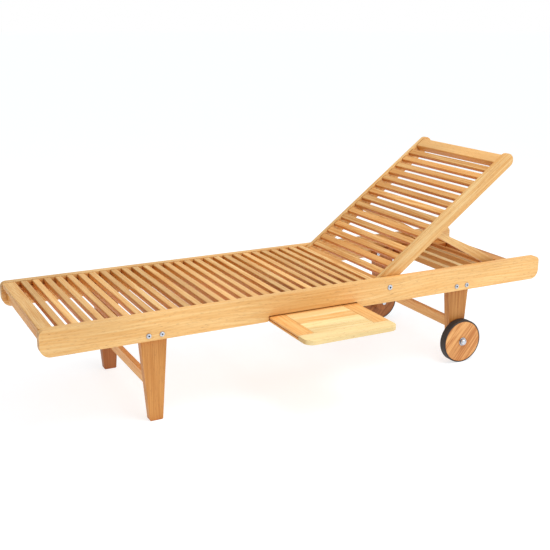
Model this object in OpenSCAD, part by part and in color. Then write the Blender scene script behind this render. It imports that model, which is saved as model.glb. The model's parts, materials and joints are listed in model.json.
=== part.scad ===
// Reclining sun lounger: slatted timber bed, backrest on a folding prop, side tray, two wheels.
// Lengths in mm, +Z up, floor at Z = 0. X runs from the foot end to the head end.

/* [Frame] */
// overall length of the side rails
rail_len = 2000; // [1800:10:2200]
// width over the outer faces of the side rails
frame_w = 611; // [550:1:700]
// height of the side rail tops above the floor
rail_top = 388; // [300:0.5:450]
// depth of a side rail
rail_h = 91; // [70:0.1:120]
// thickness of a side rail
rail_t = 28.8; // [20:0.1:40]
// corner radius at the top of a rail end
rail_rt = 20; // [5:1:30]
// corner radius at the bottom of a rail end
rail_rb = 35; // [10:1:45]

/* [Seat] */
// number of narrow seat slats
seat_slats_n = 28; // [20:1:34]
// spacing of the seat slats
seat_pitch = 42.36; // [35:0.01:50]
// width of a narrow slat
slat_w = 25; // [18:0.5:35]
// thickness of a slat
slat_t = 18.5; // [12:0.5:22]
// width of the first slat at the foot end
foot_slat_w = 46.5; // [40:0.5:60]
// width of the last slat at the head end
head_slat_w = 56.5; // [45:0.5:65]
// how far the slat tops lie below the rail tops
slat_drop = 1; // [0:0.5:6]

/* [Legs] */
// thickness of a leg
leg_t = 29.8; // [20:0.1:40]
// width of a leg under the rail
leg_top_w = 94; // [70:1:120]
// width of a leg at the floor
leg_foot_w = 47; // [35:1:70]
// distance of the foot leg centre from the foot end
leg_foot_x = 380; // [300:1:450]
// distance of the head leg centre from the foot end
leg_head_x = 1628; // [1500:1:1700]
// height of a leg stretcher
stretcher_h = 39; // [30:1:60]

/* [Backrest] */
// backrest angle above horizontal as set up
back_angle = 36.9; // [0:0.1:60]
// distance of the pivot from the foot end
pivot_x = 1289; // [1200:1:1350]
// height of the pivot above the floor
pivot_z = 354; // [340:0.5:365]
// distance from the pivot to the tip of a stile
stile_reach = 716; // [650:1:800]
// thickness of a stile
stile_t = 19; // [16:0.5:28]
// depth of a stile
stile_h = 54; // [40:1:65]
// number of narrow backrest slats
back_slats_n = 16; // [12:1:20]
// spacing of the backrest slats
back_pitch = 41.54; // [35:0.01:50]
// width of the top slat
top_slat_w = 48; // [40:1:70]
// thickness of the top slat
top_slat_t = 29; // [16:1:29]

/* [Prop] */
// distance along the stile from the pivot to the prop hinge
hinge_s = 287; // [250:1:320]
// length of a prop arm from its hinge to its foot
arm_len = 420.9; // [380:0.1:430]
// radius of the round end of a prop arm
arm_r = 12; // [9:0.5:14]
// how far the deepest part of a prop arm rises above its axis
arm_rise = 21; // [12:0.5:21]
// thickness of a prop arm
arm_t = 22; // [16:0.5:26]
// slope of the prop below horizontal as set up
arm_angle = 29.3; // [20:0.1:40]

/* [Wheels] */
// outer radius of a tyre
tyre_r = 85.7; // [60:0.1:100]
// radius of the wooden wheel disc
disc_r = 80.7; // [55:0.1:95]
// width of a wheel
wheel_w = 31; // [20:0.5:32]
// distance of the wheel centre from the foot end
wheel_x = 1636; // [1550:1:1700]

/* [Tray] */
// edge of the tray nearest the foot end
tray_x = 793; // [700:1:900]
// length of the tray along the bed
tray_l = 354; // [250:1:400]
// thickness of the tray
tray_t = 17.5; // [12:0.5:22]
// how far the tray stands out from the rail as set up
tray_out = 275; // [200:1:290]
// corner radius of the tray
tray_r = 32; // [10:1:32]

/* [Hidden] */
$fn = 96;
half_w = frame_w / 2;
inner_y = half_w - rail_t;
rail_bot = rail_top - rail_h;
slat_top = rail_top - slat_drop;
slat_bot = slat_top - slat_t;
ledger_w = 20;
ledger_h = 20;
ledger_end = 1205;
first_slat_x = 5;
leg_in = inner_y - leg_t;
stretcher_t = 20;
stretcher_foot_z = 101;
stretcher_head_z = 126;
leg_cut = 3;
rack_top = 333.2;
rack_h = 30;
rack_bar_h = 24;
rack_bar_x = [1696, 1763, 1833];
rack_start = leg_head_x + leg_top_w / 2 + 4;
rack_end = 1936;
rack_in = 216;
head_slat_x0 = rail_len - first_slat_x - head_slat_w;
head_slat_z = 335;
head_rail_t = 22;
head_rail_z = 285;
side_gap = 2;
stile_out = inner_y - side_gap;
stile_in = stile_out - stile_t;
stile_top = 42;
stile_low = stile_top - stile_h;
stile_back = 42;
ear_r = 18;
back_slat_w = 25.5;
back_slat_t = 15;
back_slat_top = stile_top - 1.5;
back_slat_s = -1.5;
top_slat_s = 693;
arm_out = stile_in - side_gap;
arm_in = arm_out - arm_t;
hinge_h = 3.5;
hinge_r = 5;
hinge_x = pivot_x + hinge_s * cos(back_angle) - hinge_h * sin(back_angle);
hinge_z = pivot_z + hinge_s * sin(back_angle) + hinge_h * cos(back_angle);
hinge_end = stile_out - 7;
arm_neck = 84;
arm_shoulder = 215;
arm_step = [325, 345];
arm_toe_h = 7;
arm_toe = 15;
arm_cut = 2 * arm_r / tan(arm_angle);
rod_at = arm_len - 56;
rod_up = -2;
rod_r = 6.5;
run = 0.05;
bolt_r = 4;
bolt_head_r = 8.5;
pivot_r = 5;
pivot_head_r = 10;
nut_t = 6;
axle_r = 6;
axle_head_r = 9;
axle_head_t = 4;
bush_r = 9;
wheel_out = half_w + 4;
wheel_in = wheel_out - wheel_w;
play = 0.3;
washer_y = wheel_out + play;
wheel_z = tyre_r;
front_x = [leg_foot_x - 26, leg_foot_x + 20];
rear_x = [leg_head_x - 32, leg_head_x + 16];
bolt_z = 315.5;
notch_top = 317.8;
notch_gap = 2;
notch_r = 8;
tray_top = 313.5;
tray_bot = tray_top - tray_t;
tray_front = -(half_w + tray_out);
front_board = 65;
batten_w = 60;
board_w = 50.5;
board_n = 8;
groove_h = 3.5;
groove_d = 4;
groove_z = tray_bot + (tray_t - groove_h) / 2;
runner_t = 15;
runner_top = 330;
tongue_start = -240;
washer_r = 16;
washer_t = 2;
cap_r = 12;
cap_h = 8;
dome_r = 11;
dome_drop = 4;
axle_reach = 12;
hub_reach = washer_t + play + cap_h + dome_r - dome_drop;
mid_y = (tray_front + wheel_out + hub_reach) / 2;

// --- helpers -------------------------------------------------------------

// moves the design so that X and Y are centred on the whole object
module place() {
    translate([-rail_len / 2, -mid_y, 0])
        children();
}

// flat profile given in X and Z, as a board from Y = y0 to Y = y1
module board(y0, y1) {
    translate([0, y1, 0])
        rotate([90, 0, 0])
            linear_extrude(y1 - y0)
                children();
}

// board on one side of the bed: side -1 is the near side, +1 the far side
module side_board(side, in, out) {
    if (side < 0)
        board(-out, -in) children();
    else
        board(in, out) children();
}

// rectangle with true arcs, radius rt at the two upper corners and rb at the two lower ones
module rounded(x0, z0, x1, z1, rt, rb) {
    translate([x0, z0 + rb])
        square([x1 - x0, z1 - rt - z0 - rb]);
    translate([x0 + rt, z1 - rt])
        square([x1 - x0 - 2 * rt, rt]);
    translate([x0 + rb, z0])
        square([x1 - x0 - 2 * rb, rb]);
    for (x = [x0 + rt, x1 - rt])
        translate([x, z1 - rt])
            circle(rt);
    for (x = [x0 + rb, x1 - rb])
        translate([x, z0 + rb])
            circle(rb);
}

// rod along Y from y0 to y1
module rod(r, y0, y1, x, z) {
    translate([x, y1, z])
        rotate([90, 0, 0])
            cylinder(r = r, h = y1 - y0);
}

// rod on one side, measured outwards from the centre plane
module side_rod(side, r, in, out, x, z) {
    if (side < 0)
        rod(r, -out, -in, x, z);
    else
        rod(r, in, out, x, z);
}

// profile placed in the leaning frame of the backrest, origin at the pivot
module lean() {
    translate([pivot_x, pivot_z])
        rotate(back_angle)
            children();
}

// profile placed along a prop arm, origin at its hinge
module along_arm() {
    translate([hinge_x, hinge_z])
        rotate(-arm_angle)
            children();
}

// --- frame ---------------------------------------------------------------

module rail_holes() {
    for (x = concat(front_x, rear_x))
        translate([x, bolt_z])
            circle(bolt_r + run);
    translate([pivot_x, pivot_z])
        circle(pivot_r + run);
}

// opening for the tray in the lower edge of the near rail, its mouth rounded
module tray_notch() {
    x0 = tray_x - notch_gap;
    x1 = tray_x + tray_l + notch_gap;
    translate([x0, rail_bot - 1])
        square([x1 - x0, notch_top - rail_bot + 1]);
    difference() {
        translate([x0 - notch_r, rail_bot - 1])
            square([x1 - x0 + 2 * notch_r, notch_r + 1]);
        for (x = [x0 - notch_r, x1 + notch_r])
            translate([x, rail_bot + notch_r])
                circle(notch_r);
    }
}

module rail_near() {
    color([0.93, 0.74, 0.48])
        place()
            side_board(-1, inner_y, half_w)
                difference() {
                    rounded(0, rail_bot, rail_len, rail_top, rail_rt, rail_rb);
                    rail_holes();
                    tray_notch();
                }
}

module rail_far() {
    color([0.93, 0.74, 0.48])
        place()
            side_board(1, inner_y, half_w)
                difference() {
                    rounded(0, rail_bot, rail_len, rail_top, rail_rt, rail_rb);
                    rail_holes();
                }
}

module leg_foot_profile() {
    difference() {
        translate([leg_foot_x, 0])
            polygon([
                [-leg_foot_w / 2, leg_cut], [leg_cut - leg_foot_w / 2, 0],
                [leg_foot_w / 2 - leg_cut, 0], [leg_foot_w / 2, leg_cut],
                [leg_top_w / 2, rail_bot], [leg_top_w / 2, slat_bot - ledger_h - 1],
                [-leg_top_w / 2, slat_bot - ledger_h - 1], [-leg_top_w / 2, rail_bot]
            ]);
        for (x = front_x)
            translate([x, bolt_z])
                circle(bolt_r + run);
    }
}

// the head legs end in a round around the wheel bolt
module leg_head_profile() {
    round_r = leg_foot_w / 2 + (leg_top_w - leg_foot_w) / 2 * wheel_z / rail_bot;
    difference() {
        union() {
            translate([leg_head_x, 0])
                polygon([
                    [-round_r, wheel_z], [round_r, wheel_z],
                    [leg_top_w / 2, rail_bot], [leg_top_w / 2, rack_top - 1],
                    [-leg_top_w / 2, rack_top - 1], [-leg_top_w / 2, rail_bot]
                ]);
            translate([leg_head_x, wheel_z])
                circle(round_r);
        }
        for (x = rear_x)
            translate([x, bolt_z])
                circle(bolt_r + run);
        translate([wheel_x, wheel_z])
            circle(axle_r + run);
    }
}

module leg_foot_near() {
    color([0.83, 0.6, 0.36])
        place()
            side_board(-1, leg_in, inner_y)
                leg_foot_profile();
}

module leg_foot_far() {
    color([0.83, 0.6, 0.36])
        place()
            side_board(1, leg_in, inner_y)
                leg_foot_profile();
}

module leg_head_near() {
    color([0.83, 0.6, 0.36])
        place()
            side_board(-1, leg_in, inner_y)
                leg_head_profile();
}

module leg_head_far() {
    color([0.83, 0.6, 0.36])
        place()
            side_board(1, leg_in, inner_y)
                leg_head_profile();
}

module stretcher(x0, z0) {
    board(-leg_in, leg_in)
        rounded(x0, z0, x0 + stretcher_t, z0 + stretcher_h, 2, 2);
}

module stretcher_foot() {
    color([0.8, 0.58, 0.34])
        place()
            stretcher(leg_foot_x - stretcher_t / 2, stretcher_foot_z);
}

module stretcher_head() {
    color([0.8, 0.58, 0.34])
        place()
            stretcher(leg_head_x - stretcher_t / 2, stretcher_head_z);
}

module foot_rail() {
    color([0.85, 0.62, 0.38])
        place()
            board(-inner_y, inner_y)
                rounded(18, 318, 40, slat_bot, 8, 8);
}

module slat(x0, z_top, w, t) {
    board(-inner_y, inner_y)
        rounded(x0, z_top - t, x0 + w, z_top, 4, 2);
}

module foot_slat() {
    color([0.88, 0.68, 0.46])
        place()
            slat(first_slat_x, slat_top, foot_slat_w, slat_t);
}

module seat_slats() {
    color([0.88, 0.68, 0.46])
        place()
            for (i = [1 : seat_slats_n])
                slat(first_slat_x + foot_slat_w + i * seat_pitch - slat_w, slat_top, slat_w, slat_t);
}

module seat_ledger(side) {
    place()
        side_board(side, inner_y - ledger_w, inner_y)
            translate([40, slat_bot - ledger_h])
                square([ledger_end - 40, ledger_h]);
}

module seat_ledger_near() {
    color([0.8, 0.58, 0.34])
        seat_ledger(-1);
}

module seat_ledger_far() {
    color([0.8, 0.58, 0.34])
        seat_ledger(1);
}

// carries the rack bars and the feet of the prop
module rack_ledger(side) {
    place()
        side_board(side, rack_in, inner_y)
            translate([rack_start, rack_top - rack_h])
                square([rack_end - rack_start, rack_h]);
}

module rack_ledger_near() {
    color([0.8, 0.58, 0.34])
        rack_ledger(-1);
}

module rack_ledger_far() {
    color([0.8, 0.58, 0.34])
        rack_ledger(1);
}

module rack_bar(x) {
    place()
        board(-rack_in, rack_in)
            rounded(x - slat_w / 2, rack_top - rack_bar_h, x + slat_w / 2, rack_top, 3, 2);
}

module rack_bar_1() {
    color([0.85, 0.64, 0.42])
        rack_bar(rack_bar_x[0]);
}

module rack_bar_2() {
    color([0.85, 0.64, 0.42])
        rack_bar(rack_bar_x[1]);
}

module rack_bar_3() {
    color([0.85, 0.64, 0.42])
        rack_bar(rack_bar_x[2]);
}

module head_slat() {
    color([0.88, 0.68, 0.46])
        place()
            slat(head_slat_x0, head_slat_z, head_slat_w, slat_t);
}

module head_rail() {
    color([0.85, 0.62, 0.38])
        place()
            board(-inner_y, inner_y)
                rounded(rack_end, head_rail_z, rack_end + head_rail_t, head_slat_z - slat_t, 2, 6);
}

// runner from rail to rail with a tongue in the tray's groove; dir points towards the tray
module tray_runner(x, dir) {
    back = x - dir * runner_t;
    face = x - dir * notch_gap / 2;
    tip = x + dir * (groove_d - 1);
    place()
        union() {
            translate([min(back, face), -inner_y, rail_bot])
                cube([abs(face - back), 2 * inner_y, runner_top - rail_bot]);
            translate([min(face, tip), tongue_start, groove_z + play])
                cube([abs(tip - face), inner_y - tongue_start, groove_h - 2 * play]);
        }
}

module tray_runner_foot() {
    color([0.78, 0.56, 0.33])
        tray_runner(tray_x, 1);
}

module tray_runner_head() {
    color([0.78, 0.56, 0.33])
        tray_runner(tray_x + tray_l, -1);
}

// --- fasteners -----------------------------------------------------------

// socket-head bolt from the outer face of a rail inwards to Y = in
module rail_bolt(side, r, head_r, in, x, z) {
    difference() {
        union() {
            side_rod(side, r, in, half_w, x, z);
            side_rod(side, head_r, half_w, half_w + 2, x, z);
            side_rod(side, head_r * 0.72, half_w + 2, half_w + 4, x, z);
        }
        side_rod(side, head_r * 0.38, half_w - 1, half_w + 5, x, z);
    }
}

module leg_bolts() {
    color([0.75, 0.76, 0.78])
        place()
            for (side = [-1, 1])
                for (x = concat(front_x, rear_x))
                    rail_bolt(side, bolt_r, bolt_head_r, leg_in - 4, x, bolt_z);
}

module leg_nuts() {
    color([0.75, 0.76, 0.78])
        place()
            for (side = [-1, 1])
                for (x = concat(front_x, rear_x))
                    difference() {
                        side_rod(side, 8, leg_in - nut_t, leg_in, x, bolt_z);
                        side_rod(side, bolt_r + run, leg_in - nut_t - 1, leg_in + 1, x, bolt_z);
                    }
}

module pivot_bolts() {
    color([0.75, 0.76, 0.78])
        place()
            for (side = [-1, 1])
                rail_bolt(side, pivot_r, pivot_head_r, stile_in - nut_t - 1, pivot_x, pivot_z);
}

module pivot_nuts() {
    color([0.75, 0.76, 0.78])
        place()
            for (side = [-1, 1])
                difference() {
                    side_rod(side, 9, stile_in - nut_t - play, stile_in - play, pivot_x, pivot_z);
                    side_rod(side, pivot_r + run, stile_in - nut_t - 1, stile_in, pivot_x, pivot_z);
                }
}

module pivot_washers() {
    color([0.75, 0.76, 0.78])
        place()
            for (side = [-1, 1])
                difference() {
                    side_rod(side, 11, stile_out + play, inner_y, pivot_x, pivot_z);
                    side_rod(side, pivot_r + run, stile_out, inner_y + 1, pivot_x, pivot_z);
                }
}

module axle_bolts() {
    color([0.75, 0.76, 0.78])
        place()
            for (side = [-1, 1]) {
                side_rod(side, axle_r, leg_in, wheel_out + axle_reach, wheel_x, wheel_z);
                side_rod(side, axle_head_r, leg_in - axle_head_t, leg_in, wheel_x, wheel_z);
            }
}

module wheel_spacers() {
    color([0.75, 0.76, 0.78])
        place()
            for (side = [-1, 1])
                difference() {
                    side_rod(side, 12, inner_y, wheel_in - play, wheel_x, wheel_z);
                    side_rod(side, axle_r + run, inner_y - 1, wheel_in, wheel_x, wheel_z);
                }
}

module hub_washers() {
    color([0.75, 0.76, 0.78])
        place()
            for (side = [-1, 1])
                difference() {
                    side_rod(side, washer_r, washer_y, washer_y + washer_t, wheel_x, wheel_z);
                    side_rod(side, axle_r + run, wheel_out, wheel_out + 3, wheel_x, wheel_z);
                }
}

// domed nut over the outer end of each wheel bolt
module cap_nuts() {
    color([0.75, 0.76, 0.78])
        place()
            for (side = [-1, 1])
                difference() {
                    translate([wheel_x, side * (washer_y + washer_t), wheel_z])
                        rotate([-90 * side, 0, 0])
                            rotate_extrude()
                                union() {
                                    square([cap_r, cap_h]);
                                    translate([0, cap_h])
                                        intersection() {
                                            translate([0, -dome_drop])
                                                circle(dome_r);
                                            square([dome_r, dome_r]);
                                        }
                                }
                    side_rod(side, axle_r + run, wheel_out, wheel_out + axle_reach + 0.1, wheel_x, wheel_z);
                }
}

// --- wheels --------------------------------------------------------------

// solid of revolution on the wheel axis; y runs outwards from the wheel's inner face
module on_axle(side) {
    translate([wheel_x, side * wheel_in, wheel_z])
        rotate([-90 * side, 0, 0])
            rotate_extrude()
                children();
}

module wheel_disc(side) {
    place()
        on_axle(side)
            difference() {
                square([disc_r, wheel_w]);
                translate([0, -1])
                    square([bush_r, wheel_w + 2]);
            }
}

module wheel_tyre(side) {
    place()
        on_axle(side)
            difference() {
                rounded(disc_r - 6, 0, tyre_r, wheel_w, 3.5, 3.5);
                translate([0, -1])
                    square([disc_r, wheel_w + 2]);
            }
}

module wheel_bush(side) {
    place()
        on_axle(side)
            translate([axle_r + run, 0])
                square([bush_r - axle_r - run, wheel_w]);
}

module wheel_disc_near() {
    color([0.82, 0.56, 0.33])
        wheel_disc(-1);
}

module wheel_tyre_near() {
    color([0.12, 0.11, 0.11])
        wheel_tyre(-1);
}

module wheel_bush_near() {
    color([0.2, 0.2, 0.2])
        wheel_bush(-1);
}

module wheel_disc_far() {
    color([0.82, 0.56, 0.33])
        wheel_disc(1);
}

module wheel_tyre_far() {
    color([0.12, 0.11, 0.11])
        wheel_tyre(1);
}

module wheel_bush_far() {
    color([0.2, 0.2, 0.2])
        wheel_bush(1);
}

// --- backrest ------------------------------------------------------------

// straight stile with a fully rounded tip and a round ear at the pivot
module stile_profile() {
    tip_r = stile_h / 2;
    heel_r = 20;
    lean()
        difference() {
            union() {
                translate([heel_r - stile_back, stile_low])
                    square([stile_reach - tip_r + stile_back - heel_r, stile_h]);
                translate([-stile_back, stile_low])
                    square([heel_r, stile_h - heel_r]);
                translate([heel_r - stile_back, stile_top - heel_r])
                    circle(heel_r);
                translate([stile_reach - tip_r, stile_low + tip_r])
                    circle(tip_r);
                circle(ear_r);
            }
            circle(pivot_r + run);
        }
}

// the hole for the hinge pin stops short of the outer face
module stile(side) {
    place()
        difference() {
            side_board(side, stile_in, stile_out)
                stile_profile();
            side_rod(side, hinge_r + run, stile_in - 1, hinge_end + run, hinge_x, hinge_z);
        }
}

module stile_near() {
    color([0.93, 0.74, 0.48])
        stile(-1);
}

module stile_far() {
    color([0.93, 0.74, 0.48])
        stile(1);
}

module back_slats() {
    color([0.88, 0.68, 0.46])
        place()
            for (i = [0 : back_slats_n - 1])
                board(-stile_in, stile_in)
                    lean()
                        translate([back_slat_s - back_slat_w + i * back_pitch, back_slat_top - back_slat_t])
                            rounded(0, 0, back_slat_w, back_slat_t, 4, 2);
}

module top_slat() {
    color([0.88, 0.68, 0.46])
        place()
            board(-stile_in, stile_in)
                lean()
                    translate([top_slat_s - top_slat_w, back_slat_top - top_slat_t])
                        rounded(0, 0, top_slat_w, top_slat_t, 5, 3);
}

module hinge_pins() {
    color([0.75, 0.76, 0.78])
        place()
            for (side = [-1, 1])
                side_rod(side, hinge_r, arm_in - 4, hinge_end, hinge_x, hinge_z);
}

// --- prop ----------------------------------------------------------------

// arm deepest past its middle; its foot is cut level where it stands on the rack ledger
module arm_profile() {
    toe_x = arm_len - arm_toe;
    toe_z = (arm_cut - arm_toe) * tan(arm_angle) - arm_r;
    difference() {
        union() {
            circle(arm_r);
            polygon([
                [0, -arm_r], [arm_len - arm_cut, -arm_r], [toe_x, toe_z], [toe_x, arm_toe_h],
                [arm_step[1], arm_toe_h], [arm_step[0], arm_rise], [arm_shoulder, arm_rise],
                [arm_neck, arm_r], [0, arm_r]
            ]);
        }
        circle(hinge_r + run);
        translate([rod_at, rod_up])
            circle(rod_r + run);
    }
}

module prop_arm_near() {
    color([0.93, 0.75, 0.48])
        place()
            side_board(-1, arm_in, arm_out)
                along_arm()
                    arm_profile();
}

module prop_arm_far() {
    color([0.93, 0.75, 0.48])
        place()
            side_board(1, arm_in, arm_out)
                along_arm()
                    arm_profile();
}

module prop_rod() {
    color([0.8, 0.58, 0.34])
        place()
            board(-arm_out + 1, arm_out - 1)
                along_arm()
                    translate([rod_at, rod_up])
                        circle(rod_r);
}

// --- tray ----------------------------------------------------------------

// flat board of the tray between two X and two Y limits
module tray_piece(x0, y0, x1, y1) {
    place()
        translate([x0, y0, tray_bot])
            cube([x1 - x0, y1 - y0, tray_t]);
}

module tray_front() {
    color([0.95, 0.82, 0.58])
        place()
            translate([tray_x, tray_front, tray_bot])
                linear_extrude(tray_t) {
                    translate([0, tray_r])
                        square([tray_l, front_board - tray_r]);
                    translate([tray_r, 0])
                        square([tray_l - 2 * tray_r, tray_r]);
                    for (x = [tray_r, tray_l - tray_r])
                        translate([x, tray_r])
                            circle(tray_r);
                }
}

// batten with a groove along its outer edge; dir points from that edge into the batten
module tray_batten(x, dir) {
    y0 = tray_front + front_board;
    y1 = y0 + board_n * board_w;
    inner = x + dir * batten_w;
    floor_x = x + dir * groove_d;
    mouth = x - dir;
    difference() {
        tray_piece(min(x, inner), y0, max(x, inner), y1);
        place()
            translate([min(floor_x, mouth), y0 - 1, groove_z])
                cube([abs(floor_x - mouth), y1 - y0 + 2, groove_h]);
    }
}

module tray_batten_foot() {
    color([0.92, 0.7, 0.42])
        tray_batten(tray_x, 1);
}

module tray_batten_head() {
    color([0.92, 0.7, 0.42])
        tray_batten(tray_x + tray_l, -1);
}

module tray_board(i) {
    y0 = tray_front + front_board + i * board_w;
    tray_piece(tray_x + batten_w, y0, tray_x + tray_l - batten_w, y0 + board_w);
}

module tray_board_1() {
    color([0.95, 0.82, 0.58])
        tray_board(0);
}

module tray_board_2() {
    color([0.95, 0.82, 0.58])
        tray_board(1);
}

module tray_board_3() {
    color([0.95, 0.82, 0.58])
        tray_board(2);
}

module tray_board_4() {
    color([0.95, 0.82, 0.58])
        tray_board(3);
}

module tray_board_5() {
    color([0.95, 0.82, 0.58])
        tray_board(4);
}

module tray_board_6() {
    color([0.95, 0.82, 0.58])
        tray_board(5);
}

module tray_board_7() {
    color([0.95, 0.82, 0.58])
        tray_board(6);
}

module tray_board_8() {
    color([0.95, 0.82, 0.58])
        tray_board(7);
}

// strip across the tray that stops it behind the near rail
module tray_cleat() {
    color([0.9, 0.7, 0.44])
        place()
            translate([tray_x + 30, -inner_y + 2, tray_top])
                cube([tray_l - 60, 20, 14]);
}

// --- selection -----------------------------------------------------------

rail_near();
rail_far();
leg_foot_near();
leg_foot_far();
leg_head_near();
leg_head_far();
stretcher_foot();
stretcher_head();
foot_rail();
foot_slat();
seat_slats();
seat_ledger_near();
seat_ledger_far();
rack_ledger_near();
rack_ledger_far();
rack_bar_1();
rack_bar_2();
rack_bar_3();
head_slat();
head_rail();
tray_runner_foot();
tray_runner_head();
leg_bolts();
leg_nuts();
pivot_bolts();
pivot_nuts();
pivot_washers();
axle_bolts();
wheel_spacers();
hub_washers();
cap_nuts();
wheel_disc_near();
wheel_tyre_near();
wheel_bush_near();
wheel_disc_far();
wheel_tyre_far();
wheel_bush_far();
stile_near();
stile_far();
back_slats();
top_slat();
hinge_pins();
prop_arm_near();
prop_arm_far();
prop_rod();
tray_front();
tray_batten_foot();
tray_batten_head();
tray_board_1();
tray_board_2();
tray_board_3();
tray_board_4();
tray_board_5();
tray_board_6();
tray_board_7();
tray_board_8();
tray_cleat();
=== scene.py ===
import json
import math
import random

import bpy
import numpy as np
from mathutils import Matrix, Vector


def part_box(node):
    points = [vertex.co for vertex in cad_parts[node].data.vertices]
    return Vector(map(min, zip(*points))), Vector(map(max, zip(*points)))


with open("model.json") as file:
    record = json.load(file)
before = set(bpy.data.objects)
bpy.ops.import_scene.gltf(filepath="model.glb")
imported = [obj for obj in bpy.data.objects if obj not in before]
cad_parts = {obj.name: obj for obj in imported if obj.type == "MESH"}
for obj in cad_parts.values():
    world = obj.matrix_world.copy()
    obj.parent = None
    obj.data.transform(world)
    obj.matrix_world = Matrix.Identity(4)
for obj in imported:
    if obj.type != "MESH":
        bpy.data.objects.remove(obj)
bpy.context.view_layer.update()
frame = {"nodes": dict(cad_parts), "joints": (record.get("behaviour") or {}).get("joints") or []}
nodes = frame["nodes"]
MM = 0.001

# The leaning directions of the backrest and its prop, from the joints' own ranges
joints = {j["name"]: j for j in frame["joints"]}
BACK_ANGLE = math.radians(joints["backrest_recline"]["range_deg"][1])
PROP_FOLD = -math.radians(joints["prop_fold"]["range_deg"][0])
PROP_ANGLE = PROP_FOLD - BACK_ANGLE

# Distance between two growth rings, and how far they bend and waver
RING_GAP = 5.5 * MM
RING_BEND = 55.0 * MM
RING_WAVE = 7.0 * MM

# How far from an edge the wood gets a painted highlight, and how far painted shade reaches into
# joints and corners
EDGE_HIGHLIGHT = 2.0 * MM
GAP_SHADE_REACH = 4.0 * MM
CORNER_SHADE_REACH = 30.0 * MM

# Gap between two neighbouring slats, and how many slats each row has
SLAT_GAP = 16.0 * MM
SEAT_SLATS = 28
BACK_SLATS = 16


def srgb(red, green, blue):
    """A colour given as 0 to 255 screen values, as the linear values that shaders take."""

    def linear(value):
        value = value / 255.0
        if value <= 0.04045:
            return value / 12.92
        return ((value + 0.055) / 1.055) ** 2.4

    return (linear(red), linear(green), linear(blue), 1.0)


def extent(node, axis):
    """Lowest and highest place of a CAD node's points along a direction."""
    points = np.array([v.co for v in nodes[node].data.vertices], float)
    along = points @ np.array(axis, float)
    return float(along.min()), float(along.max())


class Graph:
    """One node material, built a shader node at a time."""

    def __init__(self, name):
        self.material = bpy.data.materials.new(name)
        self.material.use_nodes = True
        self.tree = self.material.node_tree
        self.tree.nodes.clear()

    def add(self, kind, inputs=None, **settings):
        """Adds a shader node. An input is a number, a colour, or another node's output."""
        node = self.tree.nodes.new("ShaderNode" + kind)
        for key, value in settings.items():
            setattr(node, key, value)
        for key, value in (inputs or {}).items():
            self.join(value, node.inputs[key])
        return node

    def join(self, value, socket):
        if isinstance(value, bpy.types.NodeSocket):
            self.tree.links.new(value, socket)
        else:
            socket.default_value = value

    def math(self, operation, *values, clamp=False):
        node = self.add("Math", operation=operation, use_clamp=clamp)
        for value, socket in zip(values, node.inputs):
            self.join(value, socket)
        return node.outputs[0]

    def vector(self, operation, *values, out=0):
        node = self.add("VectorMath", operation=operation)
        for value, socket in zip(values, node.inputs):
            self.join(value, socket)
        return node.outputs[out]

    def scaled(self, vector, x, y, z):
        return self.vector("MULTIPLY", vector, (x, y, z))

    def noise(self, vector, scale=1.0, detail=2.0, roughness=0.5):
        inputs = {"Vector": vector, "Scale": scale, "Detail": detail, "Roughness": roughness}
        return self.add("TexNoise", inputs).outputs["Fac"]

    def spread(self, value, low, high, to_low=0.0, to_high=1.0):
        """Stretches the part of value between low and high to the new limits."""
        inputs = {0: value, 1: low, 2: high, 3: to_low, 4: to_high}
        return self.add("MapRange", inputs, clamp=True).outputs[0]

    def mix(self, factor, first, second, blend="MIX"):
        node = self.add("Mix", data_type="RGBA", blend_type=blend, clamp_factor=True)
        for value, index in ((factor, 0), (first, 6), (second, 7)):
            self.join(value, node.inputs[index])
        return node.outputs[2]

    def times(self, colour, factor):
        """The colour multiplied by a number."""
        node = self.add("VectorMath", {0: colour, "Scale": factor}, operation="SCALE")
        return node.outputs[0]

    def edge_mask(self, radius):
        """Near 1 on edges and 0 on flat faces."""
        bevel = self.add("Bevel", {"Radius": radius}, samples=4)
        normal = self.add("NewGeometry").outputs["Normal"]
        facing = self.vector("DOT_PRODUCT", bevel.outputs[0], normal, out=1)
        return self.spread(facing, 0.995, 0.80)

    def hollows(self, reach):
        """Near 1 deep in corners and gaps, 0 out in the open."""
        open_sky = self.add("AmbientOcclusion", {"Distance": reach}, samples=6).outputs["AO"]
        return self.spread(open_sky, 0.95, 0.30)

    def finish(self, colour, roughness, height, bump_distance, metallic=0.0, specular=0.5):
        bump = self.add("Bump", {"Height": height, "Distance": bump_distance, "Strength": 1.0})
        shader = self.add("BsdfPrincipled", {"Metallic": metallic, "Specular IOR Level": specular})
        self.join(colour, shader.inputs["Base Color"])
        self.join(roughness, shader.inputs["Roughness"])
        self.join(bump.outputs[0], shader.inputs["Normal"])
        output = self.add("OutputMaterial")
        self.join(shader.outputs[0], output.inputs["Surface"])
        return self.material


# Turns that lay each grain direction along the X axis of the pattern
ALONG_X = (0.0, 0.0, 0.0)
ALONG_Y = (0.0, 0.0, -math.pi / 2)
ALONG_Z = (0.0, math.pi / 2, 0.0)
ALONG_BACK = (0.0, BACK_ANGLE, 0.0)
ACROSS_BACK = (0.0, BACK_ANGLE, -math.pi / 2)
ALONG_PROP = (0.0, -PROP_ANGLE, 0.0)
WHEEL_GRAIN = (0.0, math.radians(52.0), 0.0)

GRAIN_DIRECTION = {
    ALONG_X: (1.0, 0.0, 0.0),
    ALONG_Y: (0.0, 1.0, 0.0),
    ALONG_Z: (0.0, 0.0, 1.0),
    ALONG_BACK: (math.cos(BACK_ANGLE), 0.0, math.sin(BACK_ANGLE)),
    ACROSS_BACK: (0.0, 1.0, 0.0),
    ALONG_PROP: (math.cos(PROP_ANGLE), 0.0, -math.sin(PROP_ANGLE)),
    WHEEL_GRAIN: (math.cos(WHEEL_GRAIN[1]), 0.0, math.sin(WHEEL_GRAIN[1])),
}

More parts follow.
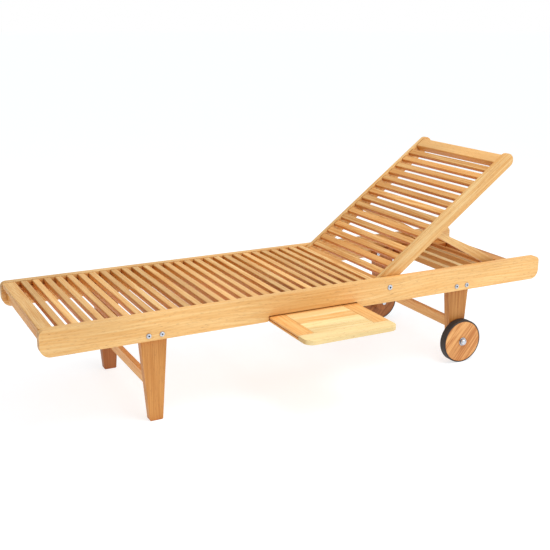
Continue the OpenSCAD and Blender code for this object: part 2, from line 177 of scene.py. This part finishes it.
# Tones of the timber: the pale early wood, the darker late wood, and the cast of some boards
HONEY = {"light": srgb(240, 204, 144), "dark": srgb(218, 158, 84), "cast": srgb(234, 184, 116)}
SLAT = {"light": srgb(244, 208, 146), "dark": srgb(216, 156, 84), "cast": srgb(234, 182, 116)}
BACK = {"light": srgb(242, 196, 130), "dark": srgb(212, 144, 70), "cast": srgb(234, 168, 94)}
BROWN = {"light": srgb(216, 158, 88), "dark": srgb(178, 112, 48), "cast": srgb(202, 136, 66)}
# A darker copy of the timber: painted shade for the far legs and the far wheel
SHADED_FAR_SIDE = {"light": srgb(190, 124, 68), "dark": srgb(140, 82, 38), "cast": srgb(164, 98, 50)}
ORANGE = {"light": srgb(246, 198, 130), "dark": srgb(226, 160, 86), "cast": srgb(240, 180, 108)}
PALE = {"light": srgb(248, 228, 176), "dark": srgb(232, 194, 126), "cast": srgb(242, 212, 150)}
WHEEL = {"light": srgb(236, 176, 108), "dark": srgb(188, 114, 54), "cast": srgb(220, 150, 82)}

PORE_COLOUR = srgb(150, 88, 44)
KNOT_COLOUR = srgb(158, 84, 40)

# What multiplies the colour on end grain, and the painted shade at joints between boards and in
# corners and gaps
END_GRAIN_TINT = (0.80, 0.70, 0.58, 1.0)
GAP_SHADE_TINT = (0.62, 0.40, 0.22, 1.0)
CORNER_SHADE_TINT = (0.86, 0.64, 0.34, 1.0)

# The darkest board of a row, and the darkest of the boards that stand alone, against the mean
ROW_DARKEST = 0.84
LONE_DARKEST = 0.93


def board_numbers(graph, pattern, row, seed):
    """Three random numbers for each board of a row, or the same three for a single board."""
    if row is None:
        place = seed
    else:
        node, axis, count = row
        low, high = extent(node, axis)
        pitch = (high - low + SLAT_GAP) / count
        across = graph.add("SeparateXYZ", {0: pattern}).outputs["Y"]
        # the pattern's Y axis runs against the row
        along_row = graph.math("MULTIPLY", across, -1.0)
        from_start = graph.math("SUBTRACT", along_row, low - SLAT_GAP / 2)
        number = graph.math("FLOOR", graph.math("DIVIDE", from_start, pitch))
        place = graph.math("ADD", number, seed)
    return graph.add("TexWhiteNoise", {"W": place}, noise_dimensions="1D").outputs["Color"]


def growth_rings(graph, grain):
    """Rings round a pith outside the board, bent by slow noise: 0 in early wood, 1 in late wood."""
    bend = graph.noise(graph.scaled(grain, 1.6, 9.0, 9.0), detail=1.0)
    figure = graph.noise(graph.scaled(grain, 6.0, 30.0, 30.0), detail=3.0)
    bent = graph.math("MULTIPLY", graph.math("SUBTRACT", bend, 0.5), RING_BEND)
    wavy = graph.math("MULTIPLY", graph.math("SUBTRACT", figure, 0.5), RING_WAVE)
    across = graph.vector("LENGTH", graph.scaled(grain, 0.0, 1.0, 1.0), out=1)
    distance = graph.math("ADD", across, graph.math("ADD", bent, wavy))
    turns = graph.math("MULTIPLY", distance, 2.0 * math.pi / RING_GAP)
    rings = graph.math("MULTIPLY_ADD", graph.math("SINE", turns), 0.5, 0.5)
    return graph.math("POWER", rings, 1.6)


def timber_colour(graph, grain, tones, chances, rings, fibres, darkest):
    """Rings and streaks between the two tones, then the board's own cast and lightness."""
    streaks = graph.noise(graph.scaled(grain, 4.0, 95.0, 95.0), detail=3.0)
    patches = graph.noise(graph.scaled(grain, 2.2, 8.0, 8.0), detail=1.0)
    share = graph.math("MULTIPLY", rings, 0.42)
    share = graph.math("ADD", share, graph.spread(streaks, 0.34, 0.66, -0.15, 0.60))
    share = graph.math("ADD", share, graph.spread(fibres, 0.34, 0.66, -0.10, 0.45))
    colour = graph.mix(share, tones["light"], tones["dark"])
    colour = graph.mix(graph.math("MULTIPLY", chances[0], 0.75), colour, tones["cast"])
    lightness = graph.spread(chances[1], 0.0, 1.0, darkest, 1.05)
    shade = graph.spread(patches, 0.32, 0.68, 0.88, 1.05)
    return graph.times(colour, graph.math("MULTIPLY", lightness, shade))


def marked(graph, grain, colour, pores):
    """Adds the pores and, far apart, small knots."""
    colour = graph.mix(graph.math("MULTIPLY", pores, 0.50), colour, PORE_COLOUR)
    knots = graph.add("TexVoronoi", {"Vector": graph.scaled(grain, 4.5, 22.0, 22.0)})
    knot = graph.spread(knots.outputs["Distance"], 0.12, 0.05)
    return graph.mix(graph.math("MULTIPLY", knot, 0.55), colour, KNOT_COLOUR)


def end_grain_and_painted_light(graph, name, colour, tones, turn):
    """Deeper colour on end grain, painted shade on faces turned away from the sky, at joints and in
    corners, and a painted highlight on edges.
    """
    normal = graph.add("TexCoord").outputs["Normal"]
    # Painted shade: faces turned away from the sky are darkened
    if name in SHADED_SIDE_TINTS:
        upward = graph.add("SeparateXYZ", {0: normal}).outputs["Z"]
        side_shaded = graph.mix(1.0, colour, SHADED_SIDE_TINTS[name], "MULTIPLY")
        colour = graph.mix(graph.spread(upward, 0.70, 0.30), colour, side_shaded)

    facing = graph.vector("DOT_PRODUCT", normal, GRAIN_DIRECTION[turn], out=1)
    end_grain = graph.spread(graph.math("ABSOLUTE", facing), 0.80, 0.97)
    deeper = graph.mix(1.0, colour, END_GRAIN_TINT, "MULTIPLY")
    colour = graph.mix(end_grain, colour, deeper)

    # Painted highlight: a lighter colour along every edge
    edge = graph.math("MULTIPLY", graph.edge_mask(EDGE_HIGHLIGHT), 0.30)
    colour = graph.mix(edge, colour, tones["light"])

    # Painted shade at joints and in narrow gaps
    gap_shaded = graph.mix(1.0, colour, GAP_SHADE_TINT, "MULTIPLY")
    colour = graph.mix(graph.hollows(GAP_SHADE_REACH), colour, gap_shaded)

    # Painted shade in corners and under nearby parts
    shadow = graph.mix(1.0, colour, CORNER_SHADE_TINT, "MULTIPLY")
    return graph.mix(graph.math("MULTIPLY", graph.hollows(CORNER_SHADE_REACH), 0.9), colour, shadow)


def wood(name, tones, turn, seed, row=None):
    """Oiled teak with growth rings, fibres, pores and end grain, painted highlights on its edges,
    and painted shade in gaps, in corners and, for pieces inside the bed, on faces turned away from
    the sky.
    """
    graph = Graph(name)
    position = graph.add("TexCoord").outputs["Object"]
    pattern = graph.add("Mapping", {"Vector": position, "Rotation": turn}).outputs[0]
    chance = board_numbers(graph, pattern, row, seed)
    chances = graph.add("SeparateColor", {0: chance}).outputs
    grain = graph.vector("ADD", pattern, graph.vector("MULTIPLY", chance, (3.0, 0.9, 0.9)))

    rings = growth_rings(graph, grain)
    fibres = graph.noise(graph.scaled(grain, 5.0, 260.0, 260.0), detail=3.0, roughness=0.6)
    flecks = graph.noise(graph.scaled(grain, 45.0, 900.0, 900.0), detail=1.0)
    pores = graph.spread(flecks, 0.62, 0.74)
    darkest = LONE_DARKEST if row is None else ROW_DARKEST
    colour = timber_colour(graph, grain, tones, chances, rings, fibres, darkest)
    colour = marked(graph, grain, colour, pores)
    colour = end_grain_and_painted_light(graph, name, colour, tones, turn)

    height = graph.math("MULTIPLY_ADD", fibres, 0.6, graph.math("MULTIPLY", rings, 0.25))
    height = graph.math("MULTIPLY_ADD", pores, -0.5, height)
    roughness = graph.spread(fibres, 0.30, 0.70, 0.42, 0.58)
    return graph.finish(colour, roughness, height, 0.25 * MM, specular=0.35)


def steel(name, seed):
    """Zinc-plated steel with fine turning marks and soft blotches, a painted highlight on its edges
    and painted shade in its sockets and hollows.
    """
    graph = Graph(name)
    position = graph.add("TexCoord").outputs["Object"]
    moved = graph.vector("ADD", position, (seed, seed, seed))
    blotches = graph.noise(moved, scale=160.0, detail=3.0)
    marks = graph.noise(graph.scaled(moved, 900.0, 90.0, 900.0), detail=2.0)
    colour = graph.mix(graph.spread(blotches, 0.3, 0.7), srgb(222, 226, 232), srgb(186, 192, 200))
    # Painted highlight on the edges
    edge = graph.math("MULTIPLY", graph.edge_mask(0.6 * MM), 0.6)
    colour = graph.mix(edge, colour, srgb(244, 246, 248))
    # Painted shade in sockets and hollows
    colour = graph.mix(graph.hollows(5.0 * MM), colour, srgb(44, 50, 62))
    roughness = graph.spread(graph.math("ADD", blotches, marks), 0.7, 1.3, 0.20, 0.38)
    return graph.finish(colour, roughness, marks, 0.03 * MM, metallic=1.0)


def rubber(name):
    """Black tyre with a matt skin and a painted highlight on its edges."""
    graph = Graph(name)
    position = graph.add("TexCoord").outputs["Object"]
    grit = graph.noise(position, scale=1400.0, detail=2.0)
    smears = graph.noise(position, scale=35.0, detail=3.0)
    colour = graph.mix(graph.spread(smears, 0.35, 0.7), srgb(34, 30, 30), srgb(52, 44, 40))
    # Painted highlight on the tyre's edges
    edge = graph.math("MULTIPLY", graph.edge_mask(2.0 * MM), 0.35)
    colour = graph.mix(edge, colour, srgb(86, 74, 66))
    roughness = graph.spread(smears, 0.3, 0.7, 0.55, 0.72)
    return graph.finish(colour, roughness, grit, 0.08 * MM)


def plastic(name):
    """Moulded dark bush with a painted highlight on its edges."""
    graph = Graph(name)
    position = graph.add("TexCoord").outputs["Object"]
    skin = graph.noise(position, scale=900.0, detail=2.0)
    colour = graph.mix(graph.spread(skin, 0.3, 0.7), srgb(40, 40, 42), srgb(54, 54, 56))
    # Painted highlight on the bush's edges
    edge = graph.math("MULTIPLY", graph.edge_mask(0.8 * MM), 0.4)
    colour = graph.mix(edge, colour, srgb(92, 92, 94))
    roughness = graph.spread(skin, 0.3, 0.7, 0.40, 0.55)
    return graph.finish(colour, roughness, skin, 0.05 * MM)


BACK_AXIS = GRAIN_DIRECTION[ALONG_BACK]
WOODS = {
    "rail_near": (HONEY, ALONG_X),
    "rail_far": (HONEY, ALONG_X),
    "leg_foot_near": (BROWN, ALONG_Z),
    "leg_foot_far": (SHADED_FAR_SIDE, ALONG_Z),
    "leg_head_near": (BROWN, ALONG_Z),
    "leg_head_far": (SHADED_FAR_SIDE, ALONG_Z),
    "stretcher_foot": (ORANGE, ALONG_Y),
    "stretcher_head": (ORANGE, ALONG_Y),
    "foot_rail": (HONEY, ALONG_Y),
    "foot_slat": (SLAT, ALONG_Y),
    "seat_slats": (SLAT, ALONG_Y),
    "seat_ledger_near": (BROWN, ALONG_X),
    "seat_ledger_far": (BROWN, ALONG_X),
    "rack_ledger_near": (BROWN, ALONG_X),
    "rack_ledger_far": (BROWN, ALONG_X),
    # Painted light: the rack bars take the palest tone so that their tops look lit
    "rack_bar_1": (PALE, ALONG_Y),
    "rack_bar_2": (PALE, ALONG_Y),
    "rack_bar_3": (PALE, ALONG_Y),
    # Painted shade: the head slat takes the darker brown tone
    "head_slat": (BROWN, ALONG_Y),
    "head_rail": (HONEY, ALONG_Y),
    "tray_runner_foot": (ORANGE, ALONG_Y),
    "tray_runner_head": (ORANGE, ALONG_Y),
    "wheel_disc_near": (WHEEL, WHEEL_GRAIN),
    "wheel_disc_far": (SHADED_FAR_SIDE, WHEEL_GRAIN),
    "stile_near": (HONEY, ALONG_BACK),
    "stile_far": (HONEY, ALONG_BACK),
    "back_slats": (BACK, ACROSS_BACK),
    "top_slat": (SLAT, ACROSS_BACK),
    "prop_arm_near": (HONEY, ALONG_PROP),
    "prop_arm_far": (HONEY, ALONG_PROP),
    # Painted shade: the prop rod takes the darker brown tone
    "prop_rod": (BROWN, ALONG_Y),
    "tray_front": (PALE, ALONG_X),
    "tray_batten_foot": (ORANGE, ALONG_Y),
    "tray_batten_head": (ORANGE, ALONG_Y),
    "tray_board_1": (PALE, ALONG_X),
    "tray_board_2": (PALE, ALONG_X),
    "tray_board_3": (HONEY, ALONG_X),
    "tray_board_4": (PALE, ALONG_X),
    "tray_board_5": (HONEY, ALONG_X),
    "tray_board_6": (PALE, ALONG_X),
    "tray_board_7": (PALE, ALONG_X),
    "tray_board_8": (HONEY, ALONG_X),
    "tray_cleat": (ORANGE, ALONG_X),
}
# Painted shade: what multiplies the colour of the faces that are turned away from the sky
BED_SIDE_SHADE = (0.94, 0.74, 0.42, 1.0)
BACKREST_SIDE_SHADE = (0.72, 0.47, 0.24, 1.0)
SHADED_SIDE_TINTS = {
    "foot_rail": BED_SIDE_SHADE,
    "foot_slat": BED_SIDE_SHADE,
    "seat_slats": BED_SIDE_SHADE,
    "seat_ledger_near": BED_SIDE_SHADE,
    "seat_ledger_far": BED_SIDE_SHADE,
    "back_slats": BED_SIDE_SHADE,
    "top_slat": BED_SIDE_SHADE,
    "head_rail": BED_SIDE_SHADE,
    "rack_ledger_near": BACKREST_SIDE_SHADE,
    "rack_ledger_far": BACKREST_SIDE_SHADE,
    "rack_bar_1": BACKREST_SIDE_SHADE,
    "rack_bar_2": BACKREST_SIDE_SHADE,
    "rack_bar_3": BACKREST_SIDE_SHADE,
    "head_slat": BACKREST_SIDE_SHADE,
}
ROWS = {
    "seat_slats": ("seat_slats", (1.0, 0.0, 0.0), SEAT_SLATS),
    "back_slats": ("back_slats", BACK_AXIS, BACK_SLATS),
}

# The surroundings, in metres: the floor's rings as radius and height, the wall, the light
RING_SIDES = 48
FLOOR_RINGS = ((0.5, 0.0), (4.0, 0.0), (20.0, 0.0), (60.0, 0.0), (66.0, 0.6), (70.0, 6.0))
FLOOR_TONES = ((0.43, 0.47, 0.51, 1.0), (0.44, 0.48, 0.52, 1.0))
FLOOR_GLOW = 0.71
BACKDROP_RADIUS = 55.0
BACKDROP_HEIGHT = 50.0
BACKDROP_COLOUR = (1.0, 1.0, 1.0, 1.0)
SKY_BRIGHT_SIDE = (0.50, -0.62, 0.60)
SKY_DIM = 0.12
SKY_BRIGHT = 0.84

# Each lamp's name, place, the point it faces, side length and power
LAMPS = (
    ("overhead", (0.5, -0.8, 3.2), (0.0, 0.0, 0.0), 2.2, 66.0),
    ("front", (1.6, -3.6, 1.6), (0.0, 0.0, 0.3), 2.2, 14.0),
)

# The camera: focal length and sensor in millimetres, its place along the bed, across from the
# bed's centre line and above the floor, its tilt up from straight down and its turn
FOCAL_LENGTH = 60.5
SENSOR_WIDTH = 36.0
CAMERA_X = -1.5596
CAMERA_FROM_BED = -3.0221
CAMERA_Z = 1.3403
CAMERA_TILT = math.radians(73.92)
CAMERA_TURN = math.radians(-26.83)
FARTHEST_SEEN = 200.0

# How far the edges of each kind of piece are rounded
EDGE_RADIUS = {"wood": 2.0 * MM, "steel": 0.5 * MM, "soft": 0.6 * MM}


def soften(node, radius):
    """Rounds a CAD node's sharp edges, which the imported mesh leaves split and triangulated."""
    weld = node.modifiers.new("weld", "WELD")
    weld.merge_threshold = 0.01 * MM
    clean = node.modifiers.new("clean", "DECIMATE")
    clean.decimate_type = "DISSOLVE"
    clean.angle_limit = math.radians(0.5)
    bevel = node.modifiers.new("edges", "BEVEL")
    bevel.width = radius
    bevel.segments = 3
    bevel.limit_method = "ANGLE"
    bevel.angle_limit = math.radians(40.0)
    bevel.use_clamp_overlap = True
    shade = node.modifiers.new("shade", "WEIGHTED_NORMAL")
    shade.keep_sharp = False


def dress():
    """Gives every CAD node its material and rounded edges."""
    draw = random.Random(11)
    for name in sorted(nodes):
        node = nodes[name]
        seed = draw.uniform(10.0, 90.0)
        if name in WOODS:
            tones, turn = WOODS[name]
            material = wood(name, tones, turn, seed, ROWS.get(name))
            kind = "wood"
        elif name.startswith("wheel_tyre"):
            material = rubber(name)
            kind = "soft"
        elif name.startswith("wheel_bush"):
            material = plastic(name)
            kind = "soft"
        else:
            material = steel(name, seed)
            kind = "steel"
        for material_slot in node.material_slots:
            material_slot.material = material
        soften(node, EDGE_RADIUS[kind])


def ring_points(radius, height):
    """Points of a level circle round the origin."""
    angles = [2.0 * math.pi * step / RING_SIDES for step in range(RING_SIDES)]
    return [(radius * math.cos(angle), radius * math.sin(angle), height) for angle in angles]


def band(first, second):
    """Faces between two rings of points, given by the number of each ring's first point."""
    faces = []
    for step in range(RING_SIDES):
        after = (step + 1) % RING_SIDES
        faces.append((first + step, second + step, second + after, first + after))
    return faces


def stage_piece(name, points, faces):
    """A new object of the surroundings, which isn't part of the lounger."""
    mesh = bpy.data.meshes.new(name)
    mesh.from_pydata(points, [], faces)
    piece = bpy.data.objects.new(name, mesh)
    bpy.context.scene.collection.objects.link(piece)
    return piece


def floor():
    """A plain pale floor that turns up far away, so that no horizon shows."""
    points = [(0.0, 0.0, 0.0)]
    for radius, height in FLOOR_RINGS:
        points += ring_points(radius, height)
    faces = [(0, 1 + step, 1 + (step + 1) % RING_SIDES) for step in range(RING_SIDES)]
    for ring in range(len(FLOOR_RINGS) - 1):
        first = 1 + ring * RING_SIDES
        faces += band(first, first + RING_SIDES)
    plane = stage_piece("floor", points, faces)
    graph = Graph("floor")
    position = graph.add("TexCoord").outputs["Object"]
    mottle = graph.noise(position, scale=3.0, detail=2.0)
    share = graph.spread(mottle, 0.3, 0.7)
    colour = graph.mix(share, FLOOR_TONES[0], FLOOR_TONES[1])
    material = graph.finish(colour, 0.9, mottle, 0.0, specular=0.0)
    shader = next(node for node in graph.tree.nodes if node.type == "BSDF_PRINCIPLED")
    shader.inputs["Emission Color"].default_value = (1.0, 1.0, 1.0, 1.0)
    shader.inputs["Emission Strength"].default_value = FLOOR_GLOW
    material.cycles.emission_sampling = "NONE"
    plane.data.materials.append(material)


def backdrop():
    """A pale wall far away that only the camera sees, so that low views show no sky."""
    points = ring_points(BACKDROP_RADIUS, 0.0) + ring_points(BACKDROP_RADIUS, BACKDROP_HEIGHT)
    wall = stage_piece("backdrop", points, band(0, RING_SIDES))
    graph = Graph("backdrop")
    glow = graph.add("Emission", {"Color": BACKDROP_COLOUR, "Strength": 1.0})
    output = graph.add("OutputMaterial")
    graph.join(glow.outputs[0], output.inputs["Surface"])
    graph.material.cycles.emission_sampling = "NONE"
    wall.data.materials.append(graph.material)
    wall.visible_diffuse = False
    wall.visible_glossy = False
    wall.visible_transmission = False
    wall.visible_shadow = False


def sky():
    """Soft light from all round, brighter from the near side, the head end and above."""
    world = bpy.data.worlds.new("studio")
    world.use_nodes = True
    tree = world.node_tree
    direction = tree.nodes.new("ShaderNodeTexCoord")
    facing = tree.nodes.new("ShaderNodeVectorMath")
    facing.operation = "DOT_PRODUCT"
    facing.inputs[1].default_value = SKY_BRIGHT_SIDE
    strength = tree.nodes.new("ShaderNodeMapRange")
    for index, value in ((1, -1.0), (2, 1.0), (3, SKY_DIM), (4, SKY_BRIGHT)):
        strength.inputs[index].default_value = value
    background = tree.nodes["Background"]
    background.inputs["Color"].default_value = (1.0, 1.0, 1.0, 1.0)
    tree.links.new(direction.outputs["Generated"], facing.inputs[0])
    tree.links.new(facing.outputs["Value"], strength.inputs[0])
    tree.links.new(strength.outputs[0], background.inputs["Strength"])
    bpy.context.scene.world = world


def lamps():
    """Broad lamps over the head end and in front of the near side."""
    for name, place, target, size, power in LAMPS:
        data = bpy.data.lights.new(name, "AREA")
        data.shape = "SQUARE"
        data.size = size
        data.energy = power
        lamp = bpy.data.objects.new(name, data)
        lamp.location = place
        aim = Vector(target) - Vector(place)
        lamp.rotation_euler = aim.to_track_quat("-Z", "Y").to_euler()
        bpy.context.scene.collection.objects.link(lamp)


def camera():
    """The photograph's viewpoint: from the foot end's near side, a little above the bed."""
    data = bpy.data.cameras.new("camera")
    data.lens = FOCAL_LENGTH
    data.sensor_width = SENSOR_WIDTH
    data.clip_end = FARTHEST_SEEN
    view = bpy.data.objects.new("camera", data)
    low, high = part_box("seat_slats")
    bed_centre = (low[1] + high[1]) / 2
    view.location = (CAMERA_X, bed_centre + CAMERA_FROM_BED, CAMERA_Z)
    view.rotation_euler = (CAMERA_TILT, 0.0, CAMERA_TURN)
    bpy.context.scene.collection.objects.link(view)
    bpy.context.scene.camera = view


camera()
dress()
floor()
backdrop()
sky()
lamps()
bpy.context.scene.view_settings.view_transform = "Standard"
